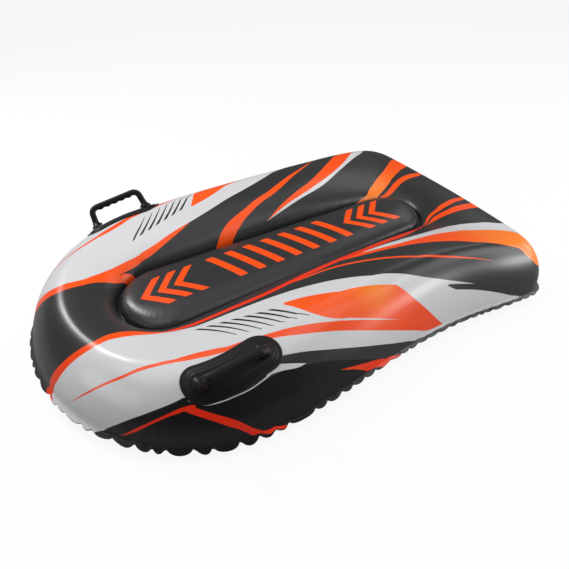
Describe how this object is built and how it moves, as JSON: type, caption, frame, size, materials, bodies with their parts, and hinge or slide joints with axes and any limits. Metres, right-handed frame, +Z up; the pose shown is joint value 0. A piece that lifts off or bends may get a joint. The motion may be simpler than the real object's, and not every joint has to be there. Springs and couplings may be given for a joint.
{
  "type": "inflatable snow sled",
  "caption": "Inflatable lie-on snow sled with a wide round nose, a raised ring round a lying pad, moulded hand grips and an air valve in the tail.",
  "frame": {"origin": "on the ground under the middle of the hull's length and width", "axes": "+Z up, -Y towards the nose, +Y towards the tail, +X to the rider's left"},
  "size_m": [0.82, 1.2, 0.2002],
  "materials": {
    "printed_vinyl": "printed PVC sheet, satin",
    "black_vinyl": "heavy cold-resistant PVC sheet, satin",
    "web_vinyl": "plain PVC sheet",
    "handle_black": "moulded soft PVC, satin",
    "valve_seat_vinyl": "moulded PVC",
    "seal_rubber": "matt",
    "valve_plastic": "moulded, satin",
    "flap_silicone": "matt, milky"
  },
  "bodies": {
    "sled": {"top_sheet": "printed_vinyl", "pad_sheet": "printed_vinyl", "base_sheet": "black_vinyl", "tension_web": "web_vinyl", "grip_pad_left": "handle_black", "grip_pad_right": "handle_black", "grip_left": "handle_black", "grip_right": "handle_black", "valve_seat": "valve_seat_vinyl"},
    "seal_ring": {"valve_seal": "seal_rubber"},
    "valve": {"valve_body": "valve_plastic"},
    "stopper": {"stopper_cap": "valve_plastic"},
    "flap": {"check_flap": "flap_silicone"}
  },
  "joints": [
    {"name": "valve_rise", "type": "slide", "parent": "sled", "child": "seal_ring", "axis": [0, 0.9948, 0.1014], "range_m": [0, 0.0045]},
    {"name": "valve_turn", "type": "hinge", "parent": "seal_ring", "child": "valve", "pos_m": [0, 0.58893, 0.08622], "axis": [0, 0.9948, 0.1014], "range_deg": [0, 540]},
    {"name": "cap_hinge", "type": "hinge", "parent": "valve", "child": "stopper", "pos_m": [0, 0.59554, 0.10026], "axis": [1, 0, 0], "range_deg": [0, 150]},
    {"name": "flap_lift", "type": "slide", "parent": "valve", "child": "flap", "axis": [0, -0.9948, -0.1014], "range_m": [0, 0.0012], "stiffness_N_per_m": 40}
  ],
  "couplings": [
    {"joint": "valve_rise", "follows": "valve_turn", "m_per_rad": 0.00047746}
  ]
}
